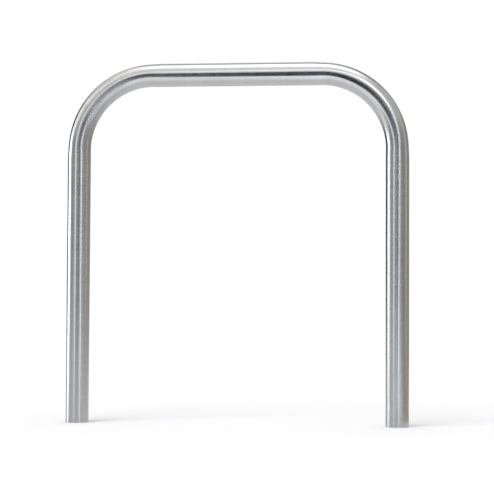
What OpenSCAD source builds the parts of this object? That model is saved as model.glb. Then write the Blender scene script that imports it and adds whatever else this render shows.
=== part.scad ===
// Root-fixed cycle stand: one bent stainless tube, an inverted U with two anchored roots.
// Millimetres, +Z up. The origin is on the ground line, midway between the legs.
// The legs stand along Z, the top rail runs along X, and the cycles lean from either side in Y.
// Everything above z = 0 shows in use. Everything below it is cast into the ground.

/* [Hoop] */
// Outside diameter of the tube
tube_d = 48.3; // [42.4:0.1:60.3]
// Wall thickness of the tube
tube_wall = 3; // [2:0.1:5]
// Distance between the centre lines of the two legs
leg_spacing = 670; // [500:5:900]
// Height of the top of the rail above the ground line
stand_height = 755; // [650:5:950]
// Bend radius at the centre line of the tube
bend_radius = 158; // [110:1:200]
// Length of each leg below the ground line
root_depth = 250; // [200:5:400]

/* [Anchor bars] */
// Diameter of the round bar through each root
anchor_d = 12; // [8:0.5:20]
// Length of each anchor bar, from tip to tip
anchor_length = 160; // [100:2:260]
// Height of the anchor bar's centre line above the end of the root
anchor_rise = 50; // [35:1:90]
// Radial gap between an anchor bar and its drilled holes
anchor_clearance = 0.25; // [0.1:0.05:0.5]
// Chamfer on the tips of the anchor bars
anchor_chamfer = 1; // [0.5:0.1:2]
// Leg length of the fillet welds round the anchor bars
weld_leg = 5; // [3:0.5:7]

/* [Root plugs] */
// Thickness of the plug's flange under the end of the tube
plug_flange = 2; // [1:0.5:4]
// Depth of the plug inside the tube
plug_depth = 16; // [10:1:24]
// Wall thickness of the plug's hollow shank
plug_wall = 2; // [1.5:0.5:3]
// Number of sealing ribs round the plug's shank
plug_ribs = 3; // [2:1:4]
// Radial gap between the plug's shank and the tube, which the ribs close
plug_rib_height = 1; // [0.6:0.1:1.5]
// Height of each sealing rib along the shank
plug_rib_width = 1.5; // [1:0.1:2]
// Width of the chamfer round the plug's flange
plug_chamfer = 0.6; // [0.2:0.1:0.9]

/* [Hidden] */

steel = [0.74, 0.74, 0.75];
bar_steel = [0.55, 0.56, 0.57];
weld_steel = [0.62, 0.60, 0.57];
plug_plastic = [0.12, 0.12, 0.13];

round_fn = 96;
tube_r = tube_d / 2;
bore_r = tube_r - tube_wall;
half_spacing = leg_spacing / 2;
rail_z = stand_height - tube_r;
bend_z = rail_z - bend_radius;
rail_half = half_spacing - bend_radius;
root_z = -root_depth;
anchor_z = root_z + anchor_rise;
anchor_r = anchor_d / 2;
anchor_hole_r = anchor_r + anchor_clearance;
// Cutting tools run this far past the faces they cut
past = 1;

// The hoop's centre line as a rod of radius r, with its leg ends carried past the roots by extra
module hoop_rod(r, extra) {
    for (side = [-1, 1]) {
        translate([side * half_spacing, 0, root_z - extra])
            cylinder(r = r, h = bend_z - root_z + extra, $fn = round_fn);
        bend_rod(side, r);
    }
    translate([-rail_half, 0, rail_z])
        rotate([0, 90, 0])
            cylinder(r = r, h = 2 * rail_half, $fn = round_fn);
}

// One quarter bend from the top of a leg to the end of the rail
module bend_rod(side, r) {
    translate([side * rail_half, 0, bend_z])
        rotate([90, 0, 0])
            rotate([0, 0, side > 0 ? 0 : 90])
                rotate_extrude(angle = 90, $fn = 2 * round_fn)
                    translate([bend_radius, 0])
                        circle(r = r, $fn = round_fn);
}

// A rod along Y through the axis of one root, centred on it
module cross_rod(side, r, length) {
    translate([side * half_spacing, length / 2, anchor_z])
        rotate([90, 0, 0])
            cylinder(r = r, h = length, $fn = round_fn / 2);
}

// The bent tube, drilled through both roots for the anchor bars
module hoop_tube() {
    color(steel)
        difference() {
            hoop_rod(tube_r, 0);
            hoop_rod(bore_r, past);
            for (side = [-1, 1])
                cross_rod(side, anchor_hole_r, tube_d + 2 * past);
        }
}

// A round bar through the drilled holes, with chamfered tips
module anchor_bar(side) {
    straight = anchor_length - 2 * anchor_chamfer;
    tip_r = anchor_r - anchor_chamfer;
    color(bar_steel)
        translate([side * half_spacing, anchor_length / 2, anchor_z])
            rotate([90, 0, 0]) {
                cylinder(r1 = tip_r, r2 = anchor_r, h = anchor_chamfer, $fn = round_fn / 2);
                translate([0, 0, anchor_chamfer])
                    cylinder(r = anchor_r, h = straight, $fn = round_fn / 2);
                translate([0, 0, anchor_chamfer + straight])
                    cylinder(r1 = anchor_r, r2 = tip_r, h = anchor_chamfer, $fn = round_fn / 2);
            }
}

// Two fillet welds, one on each side of the root, between the bar and the outside of the tube
module anchor_welds(side) {
    toe_r = anchor_r + weld_leg;
    saddle_y = sqrt(pow(tube_r, 2) - pow(toe_r, 2));
    color(weld_steel)
        difference() {
            for (face = [-1, 1])
                translate([side * half_spacing, 0, anchor_z])
                    rotate([-90 * face, 0, 0])
                        rotate_extrude($fn = round_fn / 2)
                            polygon([
                                [anchor_r, saddle_y - past],
                                [toe_r, saddle_y - past],
                                [toe_r, tube_r],
                                [anchor_r, tube_r + weld_leg]
                            ]);
            translate([side * half_spacing, 0, anchor_z - toe_r - past])
                cylinder(r = tube_r, h = 2 * (toe_r + past), $fn = round_fn);
        }
}

// A push-in plug with a hollow ribbed shank and a flange that covers the end of the tube
module root_plug(side) {
    shank_r = bore_r - plug_rib_height;
    rib_pitch = plug_depth / (plug_ribs + 1);
    color(plug_plastic)
        translate([side * half_spacing, 0, root_z])
            difference() {
                union() {
                    translate([0, 0, -plug_flange])
                        cylinder(r1 = tube_r - plug_chamfer, r2 = tube_r, h = plug_chamfer, $fn = round_fn);
                    translate([0, 0, plug_chamfer - plug_flange])
                        cylinder(r = tube_r, h = plug_flange - plug_chamfer, $fn = round_fn);
                    cylinder(r = shank_r, h = plug_depth, $fn = round_fn);
                    for (i = [1:plug_ribs])
                        translate([0, 0, i * rib_pitch - plug_rib_width / 2])
                            cylinder(r = bore_r, h = plug_rib_width, $fn = round_fn);
                }
                cylinder(r = shank_r - plug_wall, h = plug_depth + past, $fn = round_fn);
            }
}

module left_anchor_bar() { anchor_bar(-1); }
module right_anchor_bar() { anchor_bar(1); }
module left_anchor_welds() { anchor_welds(-1); }
module right_anchor_welds() { anchor_welds(1); }
module left_root_plug() { root_plug(-1); }
module right_root_plug() { root_plug(1); }

hoop_tube();
left_anchor_bar();
right_anchor_bar();
left_anchor_welds();
right_anchor_welds();
left_root_plug();
right_root_plug();
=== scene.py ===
import math

import bpy
from mathutils import Matrix, Vector


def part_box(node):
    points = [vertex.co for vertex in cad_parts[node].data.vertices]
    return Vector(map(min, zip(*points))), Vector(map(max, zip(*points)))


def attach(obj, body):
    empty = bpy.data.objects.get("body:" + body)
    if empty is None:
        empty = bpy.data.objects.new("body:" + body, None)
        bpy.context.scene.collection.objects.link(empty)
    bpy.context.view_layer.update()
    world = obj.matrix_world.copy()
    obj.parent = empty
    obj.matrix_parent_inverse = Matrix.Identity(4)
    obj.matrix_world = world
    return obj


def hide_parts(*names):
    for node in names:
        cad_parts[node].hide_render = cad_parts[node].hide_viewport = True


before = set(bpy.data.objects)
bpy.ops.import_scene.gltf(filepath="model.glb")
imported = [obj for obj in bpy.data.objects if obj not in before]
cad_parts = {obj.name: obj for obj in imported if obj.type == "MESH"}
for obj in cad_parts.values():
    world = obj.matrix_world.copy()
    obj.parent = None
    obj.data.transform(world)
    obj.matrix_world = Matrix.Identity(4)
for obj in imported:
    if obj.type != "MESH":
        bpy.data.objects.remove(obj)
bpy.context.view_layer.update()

scene = bpy.context.scene
scene.view_settings.view_transform = "Standard"

MM = 0.001

# Driving dimensions, in metres, read from the frame where it has them
HOOP_LOW, HOOP_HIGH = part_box("hoop_tube")
TUBE_R = (HOOP_HIGH.y - HOOP_LOW.y) / 2
HALF_SPACING = HOOP_HIGH.x - TUBE_R
RAIL_Z = HOOP_HIGH.z - TUBE_R
ROOT_Z = HOOP_LOW.z
TUBE_WALL = 3 * MM
BEND_RADIUS = 158 * MM
BEND_Z = RAIL_Z - BEND_RADIUS
BORE_R = TUBE_R - TUBE_WALL

BAR_LOW, BAR_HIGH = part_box("left_anchor_bar")
BAR_R = (BAR_HIGH.z - BAR_LOW.z) / 2
BAR_HALF = (BAR_HIGH.y - BAR_LOW.y) / 2
BAR_Z = (BAR_HIGH.z + BAR_LOW.z) / 2
BAR_CHAMFER = 1 * MM
BAR_DISH = 0.3 * MM
BAR_HOLE_R = BAR_R + 0.25 * MM
DRILL_REACH = 40 * MM

WELD_LEG = 5 * MM
WELD_CROWN_GAP = 0.3 * MM
WELD_BULGE = 0.25 * MM
WELD_RIPPLES = 30
WELD_RIPPLE_HEIGHT = 0.10 * MM
WELD_WAVES = 7
WELD_WAVE_HEIGHT = 0.05 * MM

PLUG_LOW, PLUG_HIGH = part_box("left_root_plug")
PLUG_FLANGE = ROOT_Z - PLUG_LOW.z
PLUG_DEPTH = PLUG_HIGH.z - ROOT_Z
PLUG_WALL = 2 * MM
PLUG_RIBS = 3
PLUG_RIB_HEIGHT = 1 * MM
PLUG_RIB_WIDTH = 1.5 * MM
PLUG_CHAMFER = 0.6 * MM
PLUG_FILLET = 0.3 * MM
PLUG_SQUEEZE = 0.02 * MM

END_CHAMFER = 0.4 * MM
# Bending a tube round a former flattens the outside of the bend and swells its sides a little
FLAT_OUTSIDE = 1.1 * MM
FLAT_INSIDE = 0.3 * MM
SWELL_SIDES = 0.3 * MM
FLAT_RAMP = 22 * MM

# How finely the meshes are divided
TUBE_SEGMENTS = 128
LEG_RING_STEP = 8 * MM
BEND_RING_STEP = 2 * MM
INNER_RINGS_ONE_IN = 3
BAR_SEGMENTS = 64
PLUG_SEGMENTS = 96
WELD_AROUND = 160
WELD_ACROSS = 8
SHARP_HOOP_EDGE = math.radians(30)
SHARP_EDGE = math.radians(40)

# The hoop's centre line is measured from the left root's end to the right root's end
LEG_LENGTH = BEND_Z - ROOT_Z
BEND_LENGTH = math.pi / 2 * BEND_RADIUS
RAIL_LENGTH = 2 * (HALF_SPACING - BEND_RADIUS)
HOOP_LENGTH = 2 * LEG_LENGTH + 2 * BEND_LENGTH + RAIL_LENGTH

# Camera, fitted to the hoop's outline
CAMERA_PLACE = (0.3315, -2.8765, 0.2736)
CAMERA_YAW = math.radians(-6.125)
CAMERA_PITCH = math.radians(2.097)
CAMERA_ROLL = math.radians(0.292)
CAMERA_LENS = 101.09
CAMERA_SENSOR = 36


# Shared mesh tools

def smooth_step(low, high, x):
    """0 below low, 1 above high, and a smooth rise between them."""
    t = min(max((x - low) / (high - low), 0), 1)
    return t * t * (3 - 2 * t)


def evenly(low, high, steps):
    """Evenly spaced values from low to high, both included."""
    return [low + (high - low) * i / steps for i in range(steps + 1)]


def new_object(name, mesh):
    made = bpy.data.objects.new(name, mesh)
    scene.collection.objects.link(made)
    return made


def write_uv(mesh, layer_name, corners):
    """Adds a UV layer from one pair of values for each face corner."""
    layer = mesh.uv_layers.new(name=layer_name)
    for loop, uv in zip(layer.data, corners):
        loop.uv = uv


def smooth_mesh(name, points, faces):
    """A mesh with smooth faces that keeps its sharp edges."""
    mesh = bpy.data.meshes.new(name)
    mesh.from_pydata(points, [], faces)
    mesh.shade_smooth()
    mesh.set_sharp_from_angle(angle=SHARP_EDGE)
    return mesh


def lathed(name, profile, segments, place, along_y=False):
    """A solid turned from a profile of radius and height. A radius of 0 closes an end on the axis."""
    points, rows = [], []
    for radius, height in profile:
        count = segments if radius else 1
        rows.append(range(len(points), len(points) + count))
        for i in range(count):
            angle = 2 * math.pi * i / segments
            x, y = radius * math.cos(angle), radius * math.sin(angle)
            turned = Vector((y, height, x)) if along_y else Vector((x, y, height))
            points.append(turned + Vector(place))
    faces = []
    for low, high in zip(rows, rows[1:]):
        for i in range(segments):
            j = (i + 1) % segments
            quad = (low[i % len(low)], low[j % len(low)], high[j % len(high)], high[i % len(high)])
            faces.append(tuple(dict.fromkeys(quad)))
    return new_object(name, smooth_mesh(name, points, faces))


def drill(piece, cutters):
    """Cuts each cutter out of the piece and removes the cutter."""
    for cutter in cutters:
        cut = piece.modifiers.new("drill", "BOOLEAN")
        cut.operation = "DIFFERENCE"
        cut.solver = "EXACT"
        cut.object = cutter
    shown = piece.evaluated_get(bpy.context.evaluated_depsgraph_get())
    piece.data = bpy.data.meshes.new_from_object(shown)
    piece.modifiers.clear()
    for cutter in cutters:
        bpy.data.objects.remove(cutter)


# Hoop

def centre_line(s):
    """Place, outward normal and distance into the nearest bend (negative outside it) at length s."""
    mirror = 1
    if s > HOOP_LENGTH / 2:
        s, mirror = HOOP_LENGTH - s, -1
    into_bend = min(s - LEG_LENGTH, LEG_LENGTH + BEND_LENGTH - s)
    if s < LEG_LENGTH:
        place, out = Vector((-HALF_SPACING, 0, ROOT_Z + s)), Vector((-1, 0, 0))
    elif s < LEG_LENGTH + BEND_LENGTH:
        turn = (s - LEG_LENGTH) / BEND_RADIUS
        out = Vector((-math.cos(turn), 0, math.sin(turn)))
        place = Vector((-HALF_SPACING + BEND_RADIUS, 0, BEND_Z)) + BEND_RADIUS * out
    else:
        place = Vector((-RAIL_LENGTH / 2 + s - LEG_LENGTH - BEND_LENGTH, 0, RAIL_Z))
        out = Vector((0, 0, 1))
    place.x *= mirror
    out.x *= mirror
    return place, out, into_bend


def ring_lengths():
    """Lengths at which the tube has a ring of points, closer together in the bends."""
    stretches = [
        (LEG_LENGTH, LEG_RING_STEP),
        (BEND_LENGTH, BEND_RING_STEP),
        (RAIL_LENGTH, LEG_RING_STEP),
        (BEND_LENGTH, BEND_RING_STEP),
        (LEG_LENGTH, LEG_RING_STEP),
    ]
    lengths, start = [0.0], 0.0
    for length, step in stretches:
        count = round(length / step)
        lengths += [start + length * (i + 1) / count for i in range(count)]
        start += length
    return lengths


def tube_ring(s, radius):
    """One ring of points round the centre line, flattened where the tube is bent."""
    place, out, into_bend = centre_line(s)
    bent = smooth_step(-FLAT_RAMP, FLAT_RAMP / 2, into_bend)
    points = []
    for i in range(TUBE_SEGMENTS):
        angle = 2 * math.pi * i / TUBE_SEGMENTS
        outward, sideways = math.cos(angle), math.sin(angle)
        flat = FLAT_OUTSIDE * max(outward, 0) ** 2 + FLAT_INSIDE * max(-outward, 0) ** 2
        r = radius - bent * (flat - SWELL_SIDES * sideways ** 4)
        points.append(place + r * outward * out + Vector((0, r * sideways, 0)))
    return points


def hoop_rings():
    """Length and radius of every ring, up the outer wall and back along the inner wall."""
    lengths = ring_lengths()
    near_start = [(0.0, TUBE_R - END_CHAMFER), (END_CHAMFER, TUBE_R)]
    outer = [(s, TUBE_R) for s in lengths[1:-1]]
    near_end = [(HOOP_LENGTH - END_CHAMFER, TUBE_R), (HOOP_LENGTH, TUBE_R - END_CHAMFER)]
    inner = [(s, BORE_R) for s in lengths[:-1:INNER_RINGS_ONE_IN]] + [(HOOP_LENGTH, BORE_R)]
    return near_start + outer + near_end + inner[::-1]


def hoop_mesh():
    """The whole tube: outer wall, both ends and inner wall, as one closed surface.

    Its UV layer holds the length in metres and the share of a turn round the tube.
    """
    rings = hoop_rings()
    points = [point for s, radius in rings for point in tube_ring(s, radius)]
    faces, corners = [], []
    n = TUBE_SEGMENTS
    for k in range(len(rings)):
        after = (k + 1) % len(rings)
        u, u_after = rings[k][0], rings[after][0]
        for i in range(n):
            j = (i + 1) % n
            faces.append((k * n + i, after * n + i, after * n + j, k * n + j))
            v, v_after = i / n, (i + 1) / n
            corners += [(u, v), (u_after, v), (u_after, v_after), (u, v_after)]
    mesh = bpy.data.meshes.new("brushed_hoop")
    mesh.from_pydata(points, [], faces)
    write_uv(mesh, "along_and_round", corners)
    return mesh


def make_hoop():
    """The tube, drilled through each root for its anchor bar."""
    hoop = new_object("brushed_hoop", hoop_mesh())
    profile = [(0, -DRILL_REACH), (BAR_HOLE_R, -DRILL_REACH), (BAR_HOLE_R, DRILL_REACH), (0, DRILL_REACH)]
    drill(hoop, [
        lathed("drill", profile, BAR_SEGMENTS, (side * HALF_SPACING, 0, BAR_Z), along_y=True)
        for side in (-1, 1)
    ])
    hoop.data.shade_smooth()
    hoop.data.set_sharp_from_angle(angle=SHARP_HOOP_EDGE)
    return hoop


# Pieces in the ground

def make_bar(side, name):
    """Plain round bar with sheared, lightly dished and chamfered tips."""
    tip_r = BAR_R - BAR_CHAMFER
    half = [
        (0, BAR_HALF - BAR_DISH),
        (tip_r * 0.6, BAR_HALF - BAR_DISH * 0.6),
        (tip_r, BAR_HALF),
        (BAR_R, BAR_HALF - BAR_CHAMFER),
    ]
    profile = [(r, -y) for r, y in half] + [(r, y) for r, y in reversed(half)]
    return lathed(name, profile, BAR_SEGMENTS, (side * HALF_SPACING, 0, BAR_Z), along_y=True)


def weld_section(angle):
    """The bead's outline at one angle round the bar, as radius from the bar's axis and y.

    It runs over the rippled face from the toe to the bar, then back along the tube.
    """
    toe_r = BAR_R + WELD_LEG
    middle_r = (BAR_R + toe_r) / 2

    def tube_y(r):
        return math.sqrt(TUBE_R ** 2 - (r * math.cos(angle)) ** 2)

    toe_y, root_y = tube_y(toe_r), tube_y(BAR_R)
    crown_y = root_y + WELD_LEG - WELD_CROWN_GAP
    section = []
    for t in evenly(0, 1, WELD_ACROSS):
        ripple = WELD_RIPPLE_HEIGHT * math.sin(WELD_RIPPLES * angle + 2.2 * t)
        wave = WELD_WAVE_HEIGHT * math.sin(WELD_WAVES * angle)
        lift = math.sin(math.pi * t) * (WELD_BULGE + ripple + wave) * 0.7
        section.append((toe_r + (BAR_R - toe_r) * t + lift, toe_y + (crown_y - toe_y) * t + lift))
    return section + [(BAR_R, root_y), (middle_r, tube_y(middle_r))]


def make_welds(side, name):
    """A rippled fillet bead on each side of the root, lying in the corner of the bar and the tube."""
    points, faces = [], []
    for face in (-1, 1):
        first = len(points)
        for i in range(WELD_AROUND):
            angle = 2 * math.pi * i / WELD_AROUND
            section = weld_section(angle)
            for r, y in section:
                x, z = r * math.cos(angle), r * math.sin(angle)
                points.append(Vector((side * HALF_SPACING + x, face * y, BAR_Z + z)))
        n = len(section)
        for i in range(WELD_AROUND):
            here, there = first + i * n, first + (i + 1) % WELD_AROUND * n
            for k in range(n):
                after = (k + 1) % n
                quad = (here + k, here + after, there + after, there + k)
                faces.append(quad if face > 0 else quad[::-1])
    return new_object(name, smooth_mesh(name, points, faces))


def plug_rib(middle, shank_r, rib_r):
    """One sealing rib, steep below and sloped above, so that it slides in and then grips."""
    half = PLUG_RIB_WIDTH / 2
    return [
        (shank_r, middle - half),
        (rib_r - 0.2 * MM, middle - half * 0.8),
        (rib_r, middle - half * 0.3),
        (rib_r, middle + half * 0.1),
        (rib_r - 0.4 * MM, middle + half * 0.7),
        (shank_r, middle + half),
    ]


def make_plug(side, name):
    """Moulded plug: a flange under the tube's end and a hollow shank with sealing ribs."""
    shank_r = BORE_R - PLUG_RIB_HEIGHT
    cup_r = shank_r - PLUG_WALL
    profile = [
        (0, -PLUG_FLANGE),
        (TUBE_R - PLUG_CHAMFER, -PLUG_FLANGE),
        (TUBE_R - PLUG_CHAMFER * 0.3, -PLUG_FLANGE + PLUG_CHAMFER * 0.3),
        (TUBE_R, -PLUG_FLANGE + PLUG_CHAMFER),
        (TUBE_R, -PLUG_FILLET),
        (TUBE_R - PLUG_FILLET, 0),
        (shank_r, 0),
    ]
    for i in range(PLUG_RIBS):
        profile += plug_rib((i + 1) * PLUG_DEPTH / (PLUG_RIBS + 1), shank_r, BORE_R - PLUG_SQUEEZE)
    profile += [
        (shank_r, PLUG_DEPTH - PLUG_FILLET * 2),
        (shank_r - PLUG_FILLET * 2, PLUG_DEPTH),
        (cup_r + PLUG_FILLET, PLUG_DEPTH),
        (cup_r, PLUG_DEPTH - PLUG_FILLET),
        (cup_r, PLUG_FILLET * 2),
        (cup_r - PLUG_FILLET * 2, 0),
        (0, 0),
    ]
    return lathed(name, profile, PLUG_SEGMENTS, (side * HALF_SPACING, 0, ROOT_Z))


# Camera

def make_camera():
    data = bpy.data.cameras.new("photo_camera")
    data.sensor_width = CAMERA_SENSOR
    data.lens = CAMERA_LENS
    data.clip_start = 0.05
    data.clip_end = 200
    camera = new_object("photo_camera", data)
    forward = Vector((
        math.sin(CAMERA_YAW) * math.cos(CAMERA_PITCH),
        math.cos(CAMERA_YAW) * math.cos(CAMERA_PITCH),
        math.sin(CAMERA_PITCH),
    ))
    level = Vector((math.cos(CAMERA_YAW), -math.sin(CAMERA_YAW), 0))
    upward = level.cross(forward)
    right = math.cos(CAMERA_ROLL) * level + math.sin(CAMERA_ROLL) * upward
    top = -math.sin(CAMERA_ROLL) * level + math.cos(CAMERA_ROLL) * upward
    turn = Matrix((right, top, -forward)).transposed()
    camera.matrix_world = Matrix.Translation(CAMERA_PLACE) @ turn.to_4x4()
    scene.camera = camera


# Node tools

def node_maker(tree):
    """A short way to add a node, set its inputs and settings, and link into it."""
    def make(kind, inputs=(), **settings):
        node = tree.nodes.new(kind)
        for key, value in settings.items():
            setattr(node, key, value)
        for key, value in dict(inputs).items():
            if isinstance(value, bpy.types.NodeSocket):
                tree.links.new(value, node.inputs[key])
            else:
                node.inputs[key].default_value = value
        return node
    return make


def new_material(name):
    material = bpy.data.materials.new(name)
    material.use_nodes = True
    material.node_tree.nodes.clear()
    return material, node_maker(material.node_tree)


def maths(make, operation, a, b=0.0):
    return make("ShaderNodeMath", {0: a, 1: b}, operation=operation).outputs[0]


def add_up(make, first, *others):
    """The sum of all the values."""
    for other in others:
        first = maths(make, "ADD", first, other)
    return first


def remap(make, value, low, high, to_low, to_high, smooth=False):
    ranges = {"Value": value, "From Min": low, "From Max": high, "To Min": to_low, "To Max": to_high}
    kind = "SMOOTHSTEP" if smooth else "LINEAR"
    return make("ShaderNodeMapRange", ranges, interpolation_type=kind).outputs[0]


def swing(make, pattern, amount):
    """A noise pattern turned into values from minus the amount to plus the amount."""
    return remap(make, pattern, 0.3, 0.7, -amount, amount)


def noise(make, place, scale, detail):
    """Noise whose scale is its number of features for each metre."""
    inputs = {"Vector": place, "Scale": scale, "Detail": detail}
    return make("ShaderNodeTexNoise", inputs).outputs[0]


def mix_colours(make, factor, first, second):
    return make("ShaderNodeMix", {0: factor, 6: first, 7: second}, data_type="RGBA").outputs[2]


def scaled(make, colour, factor):
    return make("ShaderNodeVectorMath", {0: colour, "Scale": factor}, operation="SCALE").outputs[0]


def bump(make, height, distance, strength):
    inputs = {"Height": height, "Distance": distance, "Strength": strength}
    return make("ShaderNodeBump", inputs).outputs[0]


def object_place(make):
    return make("ShaderNodeTexCoord").outputs["Object"]


# Materials

RAIL_ROUGHNESS = 0.17
LEG_ROUGHNESS = 0.215
STEEL_BRIGHTNESS = 0.62
STROKE_DEPTH = 0.015
RUBBED_SHARE = (0.4, 1.3)
COOL_STEEL = (0.985, 0.995, 1.01, 1)
WARM_STEEL = (1.01, 1.0, 0.985, 1)

# Each reach lists how far from its place a change of finish starts to fade and where it ends, in metres.
# The left bend was redressed and is duller there, with stronger strokes
REDRESSED_AT = LEG_LENGTH + 0.56 * BEND_LENGTH
REDRESSED_REACH = (0.03, 0.085)
REDRESSED_ROUGHER = 0.12
REDRESSED_STROKE_DEPTH = 0.03
# The right bend was buffed and is glossier there
BUFFED_AT = HOOP_LENGTH - LEG_LENGTH - 0.45 * BEND_LENGTH
BUFFED_REACH = (0.05, 0.14)
BUFFED_SMOOTHER = -0.05


def tube_noise(make, along, turn, per_metre, per_turn, detail):
    """Seamless noise with its own number of features for each metre along and each turn round."""
    spread = per_turn / (2 * math.pi)
    place = make("ShaderNodeCombineXYZ", {
        0: maths(make, "MULTIPLY", along, per_metre),
        1: maths(make, "MULTIPLY", maths(make, "COSINE", turn), spread),
        2: maths(make, "MULTIPLY", maths(make, "SINE", turn), spread),
    })
    inputs = {"Vector": place.outputs[0], "Scale": 1.0, "Detail": detail, "Roughness": 0.55}
    return make("ShaderNodeTexNoise", inputs).outputs[0]


def distance_along(make, along, centre):
    return maths(make, "ABSOLUTE", maths(make, "SUBTRACT", along, centre))


def brushed_stainless():
    """Satin stainless steel, brushed round the tube: sharp across the tube and smeared along it."""
    material, make = new_material("brushed_stainless")
    uv = make("ShaderNodeUVMap", uv_map="along_and_round")
    split = make("ShaderNodeSeparateXYZ", {0: uv.outputs[0]})
    along = split.outputs[0]
    turn = maths(make, "MULTIPLY", split.outputs[1], 2 * math.pi)

    grain = tube_noise(make, along, turn, 900, 5, 2)
    strokes = tube_noise(make, along, turn, 150, 3, 3)
    smudges = tube_noise(make, along, turn, 16, 6, 3)
    where_rubbed = tube_noise(make, along, turn, 9, 3, 2)
    off_redressed = distance_along(make, along, REDRESSED_AT)
    redressed = remap(make, off_redressed, *REDRESSED_REACH, 1.0, 0.0, smooth=True)

    deeper = maths(make, "MULTIPLY", redressed, REDRESSED_STROKE_DEPTH)
    rubbed = remap(make, where_rubbed, 0.4, 0.65, *RUBBED_SHARE)
    stroke_depth = maths(make, "MULTIPLY", maths(make, "ADD", deeper, STROKE_DEPTH), rubbed)
    brightness = add_up(
        make,
        maths(make, "MULTIPLY", swing(make, strokes, 1.0), stroke_depth),
        STEEL_BRIGHTNESS,
        swing(make, grain, 0.012),
        swing(make, smudges, 0.012),
    )
    tint = mix_colours(make, smudges, COOL_STEEL, WARM_STEEL)

    off_middle = distance_along(make, along, HOOP_LENGTH / 2)
    off_buffed = distance_along(make, along, BUFFED_AT)
    bend_ends = (RAIL_LENGTH / 2, RAIL_LENGTH / 2 + BEND_LENGTH)
    roughness = add_up(
        make,
        remap(make, off_middle, *bend_ends, RAIL_ROUGHNESS, LEG_ROUGHNESS, smooth=True),
        maths(make, "MULTIPLY", redressed, REDRESSED_ROUGHER),
        remap(make, off_buffed, *BUFFED_REACH, BUFFED_SMOOTHER, 0.0, smooth=True),
        swing(make, smudges, 0.005),
        swing(make, strokes, 0.01),
    )
    tangent = make("ShaderNodeTangent", direction_type="UV_MAP", uv_map="along_and_round")
    shader = make("ShaderNodeBsdfPrincipled", {
        "Base Color": scaled(make, tint, brightness),
        "Metallic": 1.0,
        "Roughness": roughness,
        "Anisotropic": 1.0,
        "Tangent": tangent.outputs[0],
        "Normal": bump(make, strokes, 0.03 * MM, 0.25),
    })
    make("ShaderNodeOutputMaterial", {"Surface": shader.outputs[0]})
    return material


def drawn_bar():
    """Plain drawn bar: dull, with fine die lines along it and darker scale in patches."""
    material, make = new_material("drawn_bar")
    bare, scaly = (0.50, 0.50, 0.51, 1), (0.34, 0.32, 0.30, 1)
    place = object_place(make)
    lines_per_metre = (1800, 14, 1800)
    stretched = make("ShaderNodeVectorMath", {0: place, 1: lines_per_metre}, operation="MULTIPLY")
    die_lines = noise(make, stretched.outputs[0], 1.0, 2.0)
    scale = remap(make, noise(make, place, 70.0, 4.0), 0.45, 0.65, 0.0, 1.0, smooth=True)
    colour = mix_colours(make, scale, bare, scaly)
    shader = make("ShaderNodeBsdfPrincipled", {
        "Base Color": scaled(make, colour, remap(make, die_lines, 0.3, 0.7, 0.92, 1.08)),
        "Metallic": 1.0,
        "Roughness": remap(make, scale, 0, 1, 0.32, 0.5),
        "Normal": bump(make, die_lines, 0.02 * MM, 0.6),
    })
    make("ShaderNodeOutputMaterial", {"Surface": shader.outputs[0]})
    return material


def distance_from_bar(make, place):
    """Distance from the axis of the nearer anchor bar."""
    split = make("ShaderNodeSeparateXYZ", {0: place})
    x = maths(make, "SUBTRACT", maths(make, "ABSOLUTE", split.outputs[0]), HALF_SPACING)
    z = maths(make, "SUBTRACT", split.outputs[2], BAR_Z)
    square = maths(make, "ADD", maths(make, "MULTIPLY", x, x), maths(make, "MULTIPLY", z, z))
    return maths(make, "SQRT", square)


def weld_bead():
    """Weld metal as it was laid: straw near the bar, then brown, and slate at the toe, finely frosted."""
    material, make = new_material("weld_bead")
    straw, brown, slate = (0.60, 0.56, 0.47, 1), (0.45, 0.34, 0.24, 1), (0.25, 0.29, 0.37, 1)
    place = object_place(make)
    blotches = noise(make, place, 320.0, 3.0)
    frost = noise(make, place, 2600.0, 2.0)
    toward_toe = remap(make, distance_from_bar(make, place), BAR_R, BAR_R + WELD_LEG, 0.0, 1.0)
    heat = maths(make, "ADD", toward_toe, swing(make, blotches, 0.25))
    browned = remap(make, heat, 0.0, 0.55, 0.0, 1.0, smooth=True)
    blued = remap(make, heat, 0.55, 1.0, 0.0, 1.0, smooth=True)
    shader = make("ShaderNodeBsdfPrincipled", {
        "Base Color": mix_colours(make, blued, mix_colours(make, browned, straw, brown), slate),
        "Metallic": 1.0,
        "Roughness": remap(make, blotches, 0.3, 0.7, 0.30, 0.45),
        "Normal": bump(make, frost, 0.03 * MM, 0.5),
    })
    make("ShaderNodeOutputMaterial", {"Surface": shader.outputs[0]})
    return material


def plug_plastic():
    """Black polyethylene with a fine moulded matt and faint scuffs."""
    material, make = new_material("plug_plastic")
    black, scuffed = (0.018, 0.018, 0.020, 1), (0.045, 0.045, 0.047, 1)
    place = object_place(make)
    matt = noise(make, place, 1500.0, 2.0)
    worn = remap(make, noise(make, place, 90.0, 4.0), 0.55, 0.75, 0.0, 1.0, smooth=True)
    shader = make("ShaderNodeBsdfPrincipled", {
        "Base Color": mix_colours(make, worn, black, scuffed),
        "Roughness": remap(make, worn, 0, 1, 0.48, 0.62),
        "IOR": 1.5,
        "Normal": bump(make, matt, 0.03 * MM, 0.6),
    })
    make("ShaderNodeOutputMaterial", {"Surface": shader.outputs[0]})
    return material


# Studio

STUDIO_CENTRE = Vector((0, 0, 0.5))
PATCH_STEPS_ACROSS = 24
PATCH_STEPS_UP = 12
SILHOUETTE_STEPS = 6
RIBBON_STEPS = 10

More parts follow.
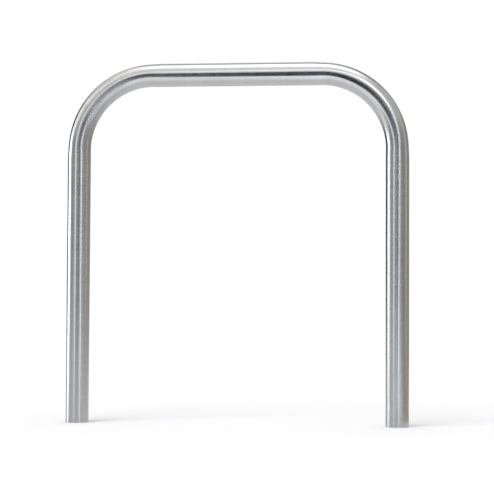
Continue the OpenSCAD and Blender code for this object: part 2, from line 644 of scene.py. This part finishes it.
NEUTRAL = (1.0, 1.0, 1.0)
COOL = (0.86, 1.0, 1.16)
ARCH_COOL = (0.90, 1.0, 1.10)
WARM = (1.01, 1.0, 0.90)
BROWN = (1.18, 1.0, 0.78)
LILAC = (0.995, 1.0, 1.025)
OLIVE = (1.04, 1.0, 0.87)
FLOOR_COLOUR = (0.8, 0.8, 0.81, 1)
WHITE = (1, 1, 1, 1)

FLOOR_HALF = 60
WORLD_FILL = 0.9
LAMP_STRENGTH = 1.4
LAMP_SPREAD = math.radians(40)
LAMP_TURN = (math.radians(28), math.radians(-22), 0)


def edge_fade(make, share_across, soft):
    """1 inside a card and a smooth fall to 0 over the outer share soft of it, at both edges."""
    if not soft:
        return 1.0
    off_middle = maths(make, "ABSOLUTE", maths(make, "SUBTRACT", share_across, 0.5))
    return remap(make, off_middle, 0.5 - soft, 0.5, 1.0, 0.0, smooth=True)


def glow_material(name, strength, tint, soft):
    """A glow that fades out at its edges. soft holds the fades, as shares of the width and the height."""
    material, make = new_material(name)
    share = make("ShaderNodeAttribute", attribute_name="share").outputs["Fac"]
    power = maths(make, "MULTIPLY", share, strength)
    glow = make("ShaderNodeEmission", {"Color": (*tint, 1), "Strength": power})
    split = make("ShaderNodeSeparateXYZ", {0: make("ShaderNodeTexCoord").outputs["UV"]})
    fades = [edge_fade(make, split.outputs[axis], soft[axis]) for axis in (0, 1)]
    edge = maths(make, "MULTIPLY", *fades)
    clear = make("ShaderNodeBsdfTransparent")
    surface = make("ShaderNodeMixShader", {0: edge, 1: clear.outputs[0], 2: glow.outputs[0]})
    make("ShaderNodeOutputMaterial", {"Surface": surface.outputs[0]})
    return material


def card_mesh(name, grid, shares):
    """A sheet through a grid of points, with UVs from 0 to 1 and each row's share of the glow."""
    rows, columns = len(grid), len(grid[0])
    points = [point for row in grid for point in row]
    faces, corners = [], []
    for j in range(rows - 1):
        low, high = j / (rows - 1), (j + 1) / (rows - 1)
        for i in range(columns - 1):
            left, right = i / (columns - 1), (i + 1) / (columns - 1)
            first = j * columns + i
            faces.append((first, first + 1, first + columns + 1, first + columns))
            corners += [(left, low), (right, low), (right, high), (left, high)]
    mesh = bpy.data.meshes.new(name)
    mesh.from_pydata(points, [], faces)
    write_uv(mesh, "card", corners)
    share = mesh.attributes.new("share", "FLOAT", "POINT")
    for index, value in enumerate(shares):
        share.data[index].value = value
    return mesh


def reflected_only(name, grid, strength, tint, soft, row_shares=None):
    """A glowing sheet that shows in reflections and nowhere else.

    The row shares, one for each row of the grid, make it brighter or dimmer along its length.
    """
    row_shares = row_shares or [1.0] * len(grid)
    mesh = card_mesh(name, grid, [value for value, row in zip(row_shares, grid) for point in row])
    mesh.materials.append(glow_material(name, strength, tint, soft))
    made = new_object(name, mesh)
    made.visible_camera = False
    made.visible_diffuse = False
    made.visible_transmission = False
    made.visible_volume_scatter = False
    made.visible_shadow = False


def patch(name, azimuths, elevations, distance, strength, tint=NEUTRAL, soft=(0.2, 0.2)):
    """Part of a sphere round the rack, in degrees. Azimuth is 0 at the front and grows to the right."""
    grid = []
    for elevation in evenly(*elevations, PATCH_STEPS_UP):
        row = []
        for azimuth in evenly(*azimuths, PATCH_STEPS_ACROSS):
            level = math.cos(math.radians(elevation))
            way = Vector((
                math.sin(math.radians(azimuth)) * level,
                -math.cos(math.radians(azimuth)) * level,
                math.sin(math.radians(elevation)),
            ))
            row.append(STUDIO_CENTRE + distance * way)
        grid.append(row)
    reflected_only(name, grid, strength, tint, soft)


def level_card(name, x_range, y_range, z, strength, tint=NEUTRAL, soft=(0.2, 0.2)):
    grid = [[Vector((x, y, z)) for x in x_range] for y in y_range]
    reflected_only(name, grid, strength, tint, soft)


def front_card(name, x_range, z_range, y, strength, tint=NEUTRAL, soft=(0.2, 0.2)):
    grid = [[Vector((x, y, z)) for x in x_range] for z in z_range]
    reflected_only(name, grid, strength, tint, soft)


def level_silhouette(name, columns, z, strength, tint, soft):
    """A level sheet between a front and a back outline. Each column lists x, its front and its back."""
    sides = [[Vector((x, y, z)) for y in evenly(low, high, SILHOUETTE_STEPS)] for x, low, high in columns]
    reflected_only(name, list(zip(*sides)), strength, tint, soft)


def front_silhouette(name, columns, y, strength, tint, soft):
    """An upright sheet between two outlines. Each column lists x, its foot and its top."""
    sides = [[Vector((x, y, z)) for z in evenly(low, high, SILHOUETTE_STEPS)] for x, low, high in columns]
    reflected_only(name, list(zip(*sides)), strength, tint, soft)


def smooth_path(path):
    """Rows of values on smooth curves through the rows of the path."""
    smooth = []
    last = len(path) - 1
    for k in range(last):
        four = [path[min(max(k + i, 0), last)] for i in (-1, 0, 1, 2)]
        for step in range(RIBBON_STEPS):
            t = step / RIBBON_STEPS
            smooth.append([
                0.5 * (2 * a + (b - before) * t + (2 * before - 5 * a + 4 * b - after) * t * t
                       + (3 * a - before - 3 * b + after) * t ** 3)
                for before, a, b, after in zip(*four)
            ])
    smooth.append(list(path[last]))
    return smooth


def ribbon(name, path, strength, tint, soft):
    """A bright band that faces the rack. Each row of its path lists x, y, z, width and share of the glow."""
    rows = smooth_path(path)
    places = [Vector(row[:3]) for row in rows]
    grid = []
    for k, row in enumerate(rows):
        way = places[min(k + 1, len(places) - 1)] - places[max(k - 1, 0)]
        side = way.cross(STUDIO_CENTRE - places[k]).normalized() * row[3] / 2
        grid.append([places[k] - side, places[k] + side])
    reflected_only(name, grid, strength, tint, (soft, 0), [row[4] for row in rows])


def make_front():
    """The bright arch in front of the rack, the black field inside it and the glows near it."""
    arch = (
        (-0.60, -1.00, -0.06, 0.08, 0.9), (-0.72, -1.22, 0.10, 0.09, 0.9), (-0.90, -1.56, 0.28, 0.12, 0.8),
        (-1.28, -2.20, 0.52, 0.17, 0.8), (-1.85, -3.00, 0.84, 0.24, 0.9), (-2.10, -3.15, 1.12, 0.26, 0.8),
        (-1.80, -3.15, 1.36, 0.22, 0.7), (-1.46, -3.15, 1.48, 0.20, 0.6), (-1.17, -3.15, 1.54, 0.20, 0.5),
        (-0.92, -3.15, 1.80, 0.22, 0.5), (-0.68, -3.15, 2.28, 0.30, 0.6), (-0.42, -3.15, 2.46, 0.40, 0.8),
        (-0.10, -3.15, 2.52, 0.45, 0.85), (0.25, -3.15, 2.62, 0.45, 0.85), (0.76, -3.15, 2.90, 0.50, 0.7),
        (1.30, -3.15, 3.15, 0.60, 0.8), (1.75, -3.15, 3.08, 0.60, 0.85), (2.06, -3.15, 2.60, 0.55, 0.8),
        (2.28, -3.15, 1.95, 0.45, 0.65), (2.05, -3.15, 1.30, 0.35, 0.65), (1.70, -3.10, 1.00, 0.32, 0.85),
        (1.33, -2.75, 0.80, 0.26, 1.0), (0.85, -1.79, 0.49, 0.18, 1.0), (0.63, -1.33, 0.28, 0.14, 0.95),
        (0.56, -1.18, 0.08, 0.13, 0.9), (0.51, -1.09, -0.06, 0.13, 0.9),
    )
    door = (
        (-2.90, -0.4, 1.50), (-2.60, -0.4, 1.85), (-1.62, -0.4, 2.10), (-0.75, -0.4, 2.25),
        (0.00, -0.4, 2.55), (0.68, -0.4, 3.15), (1.38, -0.4, 4.00), (2.00, -0.4, 4.10), (2.30, -0.4, 3.40),
    )
    ribbon("bright_arch", arch, 2.6, ARCH_COOL, soft=0.2)
    front_card("low_blue_glow", (1.60, 3.60), (0.00, 1.90), -6.40, 0.60, COOL, soft=(0.3, 0.3))
    front_card("left_glow", (-2.80, -1.00), (0.60, 2.10), -3.20, 1.15, soft=(0.45, 0.4))
    front_card("high_right_glow", (1.20, 6.70), (2.60, 9.00), -6.55, 2.1, soft=(0.4, 0.35))
    front_silhouette("black_door", door, -6.5, 0.03, COOL, soft=(0.06, 0.13))


def make_surround():
    """Grey walls and soft lights beside, behind and above the rack."""
    patch("front_left_wall", (-86, -15), (-12, 22), 7.0, 0.27, COOL)
    patch("left_shadow", (-78, -40), (-12, 19), 6.9, 0.10, COOL, soft=(0.3, 0.3))
    patch("front_right_wall", (15, 100), (-12, 28), 7.0, 0.31, OLIVE)
    patch("back_right_wall", (90, 170), (-12, 30), 7.0, 0.33, WARM)
    patch("upper_right", (45, 130), (20, 70), 7.2, 0.58)
    patch("upper_left", (-130, -55), (32, 70), 7.2, 0.80, WARM)
    patch("upper_front_left", (-62, -6), (20, 52), 7.3, 0.82, WARM)
    patch("behind_upper_right", (125, 175), (20, 60), 7.1, 0.28)
    patch("left_softbox", (-114, -83), (-16, 15), 6.5, 4.0, soft=(0.08, 0.3))
    patch("left_high_glow", (-94, -62), (10, 34), 6.6, 1.3, soft=(0.3, 0.3))
    patch("dark_flag", (-170, -108), (-12, 35), 6.6, 0.05, soft=(0.06, 0.2))
    patch("behind_above", (-220, -140), (40, 66), 7.4, 0.5)
    patch("behind", (-215, -150), (-12, 45), 7.5, 0.45)
    level_card("overhead_softbox", (-1.7, 2.0), (-1.25, 0.95), 3.2, 2.2, soft=(0.42, 0.2))


def make_floor_cards():
    """What the tube reflects of the ground, with painted shade under and behind the rack. Where two cards
    overlap, the higher one covers the lower.
    """
    mat = (
        (-2.00, -7.1, -6.60), (-1.50, -7.1, -4.50), (-1.10, -7.1, -3.00), (-0.75, -7.1, -1.80),
        (-0.40, -7.1, -1.20), (0.40, -7.1, -1.10), (0.90, -7.1, -0.98), (1.25, -7.1, -0.95),
        (1.60, -7.1, -1.40), (2.10, -7.1, -2.10), (2.60, -7.1, -2.80),
    )
    brown = ((0.38, -0.10, 0.12), (0.60, -0.16, 0.16), (1.40, -0.50, 0.60), (2.40, -0.90, 1.20))
    level_silhouette("black_mat", mat, 0.008, 0.02, COOL, soft=(0.08, 0.085))
    level_card("floor_glow_right", (0.05, 0.72), (-1.25, -0.15), 0.007, 1.55, COOL, soft=(0.35, 0.35))
    level_silhouette("brown_floor", brown, 0.006, 0.36, BROWN, soft=(0.06, 0.15))
    level_card("floor_right_front", (1.20, 5.0), (-5.0, -0.55), 0.005, 0.17, soft=(0.15, 0.15))
    level_card("floor_right", (0.55, 6.0), (-5.0, 6.0), 0.004, 0.32, OLIVE, soft=(0.14, 0.05))
    level_card("floor_left_back", (-6.0, -0.9), (0.20, 6.0), 0.003, 0.52, LILAC, soft=(0.2, 0.1))
    level_card("floor_left_front", (-6.0, -0.9), (-6.0, -0.5), 0.002, 0.55, LILAC, soft=(0.15, 0.15))
    # Painted shade: a dimmer sheet on the ground under and behind the rack, standing in for the shade there
    # as the tube reflects it
    level_card("floor_back_painted_shade", (-1.6, 1.2), (-0.75, 6.0), 0.001, 0.76, LILAC, soft=(0.2, 0.1))


def make_floor():
    """The plain pale floor, level with the ground line."""
    points = [(-FLOOR_HALF, -FLOOR_HALF, 0), (FLOOR_HALF, -FLOOR_HALF, 0),
              (FLOOR_HALF, FLOOR_HALF, 0), (-FLOOR_HALF, FLOOR_HALF, 0)]
    mesh = bpy.data.meshes.new("floor")
    mesh.from_pydata(points, [], [(0, 1, 2, 3)])
    floor = new_object("floor", mesh)
    material, make = new_material("pale_floor")
    shader = make("ShaderNodeBsdfDiffuse", {"Color": FLOOR_COLOUR})
    make("ShaderNodeOutputMaterial", {"Surface": shader.outputs[0]})
    mesh.materials.append(material)


def make_world():
    """Shows as white, and lights the rack at a little less than that."""
    world = bpy.data.worlds.new("studio")
    scene.world = world
    world.use_nodes = True
    world.node_tree.nodes.clear()
    make = node_maker(world.node_tree)
    path = make("ShaderNodeLightPath")
    seen = maths(make, "MAXIMUM", path.outputs["Is Camera Ray"], path.outputs["Is Glossy Ray"])
    seen = maths(make, "MAXIMUM", seen, path.outputs["Is Transmission Ray"])
    fill = make("ShaderNodeBackground", {"Color": WHITE, "Strength": WORLD_FILL})
    shown = make("ShaderNodeBackground", {"Color": WHITE, "Strength": 1.0})
    mixed = make("ShaderNodeMixShader", {0: seen, 1: fill.outputs[0], 2: shown.outputs[0]})
    make("ShaderNodeOutputWorld", {"Surface": mixed.outputs[0]})


def make_lamp():
    """A soft sun that gives the contact shadows and isn't reflected."""
    data = bpy.data.lights.new("soft_key", "SUN")
    data.energy = LAMP_STRENGTH
    data.angle = LAMP_SPREAD
    lamp = new_object("soft_key", data)
    lamp.rotation_euler = LAMP_TURN
    lamp.visible_glossy = False


def finish_piece(piece, material, node):
    piece.data.materials.clear()
    piece.data.materials.append(material)
    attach(piece, "root")
    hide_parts(node)


make_camera()
make_world()
make_lamp()
make_floor()
make_front()
make_surround()
make_floor_cards()

finish_piece(make_hoop(), brushed_stainless(), "hoop_tube")
bar_finish, weld_finish, plug_finish = drawn_bar(), weld_bead(), plug_plastic()
for side, hand in ((-1, "left"), (1, "right")):
    finish_piece(make_bar(side, hand + "_bar"), bar_finish, hand + "_anchor_bar")
    finish_piece(make_welds(side, hand + "_welds"), weld_finish, hand + "_anchor_welds")
    finish_piece(make_plug(side, hand + "_plug"), plug_finish, hand + "_root_plug")
